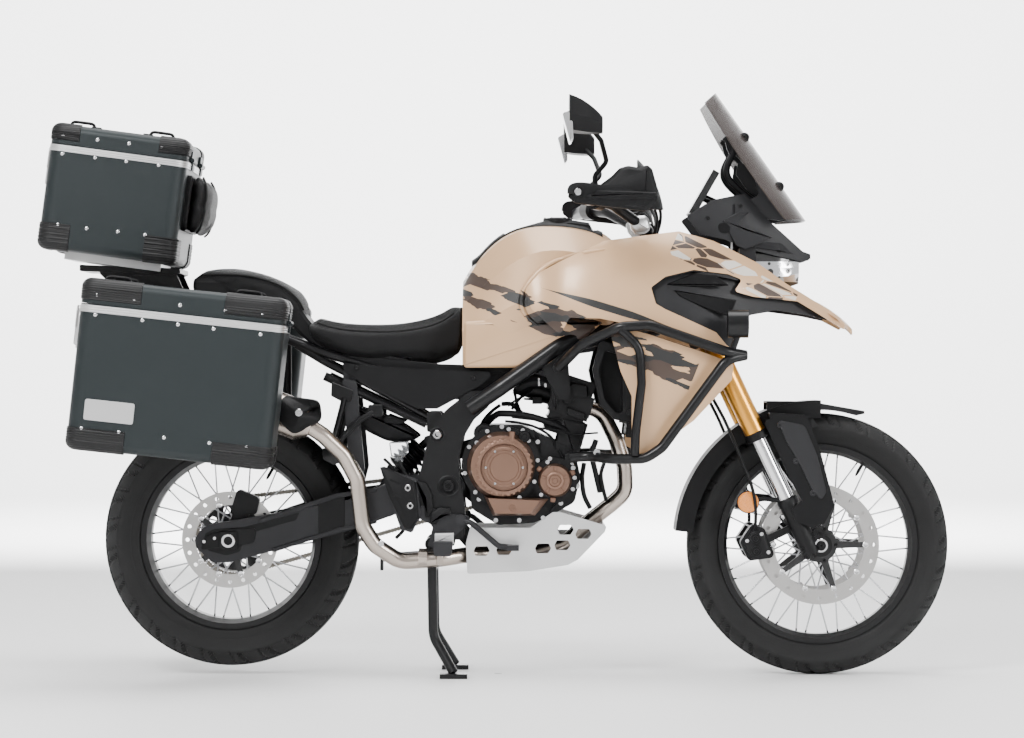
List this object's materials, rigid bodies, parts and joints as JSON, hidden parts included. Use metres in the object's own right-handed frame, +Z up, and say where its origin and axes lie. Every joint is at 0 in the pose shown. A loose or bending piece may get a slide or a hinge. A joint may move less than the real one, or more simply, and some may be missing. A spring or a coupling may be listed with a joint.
{
  "type": "adventure motorcycle",
  "caption": "Adventure motorcycle with wire-spoke wheels, parallel-twin engine, crash bars, tall screen, panniers and a top case, parked on its centre stand.",
  "frame": {"origin": "on the floor under the middle of the bounding box", "axes": "+X forward, +Y to the rider's left, +Z up"},
  "size_m": [2.2611, 1, 1.4603],
  "materials": {
    "frame_black": "satin black",
    "cast_grey": "dark grey satin cast",
    "silver": "satin silver",
    "engine_black": "satin black cast",
    "bronze": "bronze satin",
    "core_black": "black fins",
    "plastic_black": "matt black",
    "plastic_grey": "dark grey satin",
    "sand": "satin sand gold paint",
    "exhaust_steel": "brushed, slightly heat tinted",
    "seat_black": "grained black cover",
    "clear": "smoked clear",
    "lens": "clear lens",
    "screen_black": "gloss black",
    "chain_steel": "oiled steel",
    "disc_steel": "ground steel",
    "case_blue": "slate blue-grey satin",
    "fork_gold": "anodised gold",
    "chrome": "polished",
    "rim_black": "satin black rim",
    "tyre": "black rubber",
    "spring": "black spring"
  },
  "bodies": {
    "root": {"frame_main": "frame_black", "subframe": "frame_black", "luggage_rack": "frame_black", "top_case_plate": "silver", "engine_case": "engine_black", "cylinder_head": "engine_black", "bronze_covers": "bronze", "radiator": "core_black", "radiator_ducts": "plastic_black", "skid_plate": "silver", "exhaust_pipes": "exhaust_steel", "muffler": "exhaust_steel", "fuel_tank": "sand", "tank_cover": "plastic_black", "fairing_upper": "sand", "fairing_lower": "sand", "cowl": "plastic_grey", "headlight": "lens", "windscreen": "clear", "display": "screen_black", "rider_seat": "seat_black", "pillion_seat": "seat_black", "side_covers": "plastic_black", "tail_unit": "plastic_black", "guard_bars": "frame_black", "footrest_hangers": "cast_grey", "swingarm": "cast_grey", "chain": "chain_steel", "shock": "spring", "hugger": "plastic_black", "rear_brake": "engine_black", "top_case_shell": "case_blue", "pannier_shells": "case_blue"},
    "steering": {"fork_clamps": "engine_black", "fork_uppers": "fork_gold", "fork_tubes": "chrome", "fork_castings": "engine_black", "front_fender": "plastic_black", "front_calipers": "engine_black", "handlebar": "frame_black", "hand_guards": "plastic_black", "mirrors": "plastic_black"},
    "front_wheel": {"front_rim": "rim_black", "front_tyre": "tyre", "front_discs": "disc_steel"},
    "rear_wheel": {"rear_rim": "rim_black", "rear_tyre": "tyre", "rear_disc": "disc_steel"},
    "centre_stand": {"centre_stand": "frame_black"},
    "side_stand": {"side_stand": "frame_black"},
    "pannier_lid_right": {"pannier_lid_right": "case_blue"},
    "pannier_lid_left": {"pannier_lid_left": "case_blue"},
    "top_case_lid": {"top_case_lid": "case_blue"}
  },
  "joints": [
    {"name": "steering", "type": "hinge", "parent": "root", "child": "steering", "pos_m": [0.45671, 0, 0.9392], "axis": [-0.425, 0, 0.9052], "range_deg": [-36, 36]},
    {"name": "front_wheel_spin", "type": "hinge", "parent": "steering", "child": "front_wheel", "pos_m": [0.802, 0, 0.328], "axis": [0, 1, 0], "continuous": true},
    {"name": "rear_wheel_spin", "type": "hinge", "parent": "root", "child": "rear_wheel", "pos_m": [-0.668, 0, 0.341], "axis": [0, 1, 0], "continuous": true},
    {"name": "centre_stand_fold", "type": "hinge", "parent": "root", "child": "centre_stand", "pos_m": [-0.165, 0, 0.331], "axis": [0, 1, 0], "range_deg": [0, 80]},
    {"name": "side_stand_fold", "type": "hinge", "parent": "root", "child": "side_stand", "pos_m": [-0.04, 0.17, 0.296], "axis": [0, 1, 0], "range_deg": [-95, 0]},
    {"name": "pannier_lid_right_hinge", "type": "hinge", "parent": "root", "child": "pannier_lid_right", "pos_m": [-0.49766, -0.3855, 0.87495], "axis": [0, 1, 0], "range_deg": [0, 85]},
    {"name": "pannier_lid_left_hinge", "type": "hinge", "parent": "root", "child": "pannier_lid_left", "pos_m": [-0.49766, 0.3855, 0.87495], "axis": [0, 1, 0], "range_deg": [0, 85]},
    {"name": "top_case_lid_hinge", "type": "hinge", "parent": "root", "child": "top_case_lid", "pos_m": [-0.75631, 0, 1.28179], "axis": [0, 1, 0], "range_deg": [0, 75]}
  ]
}
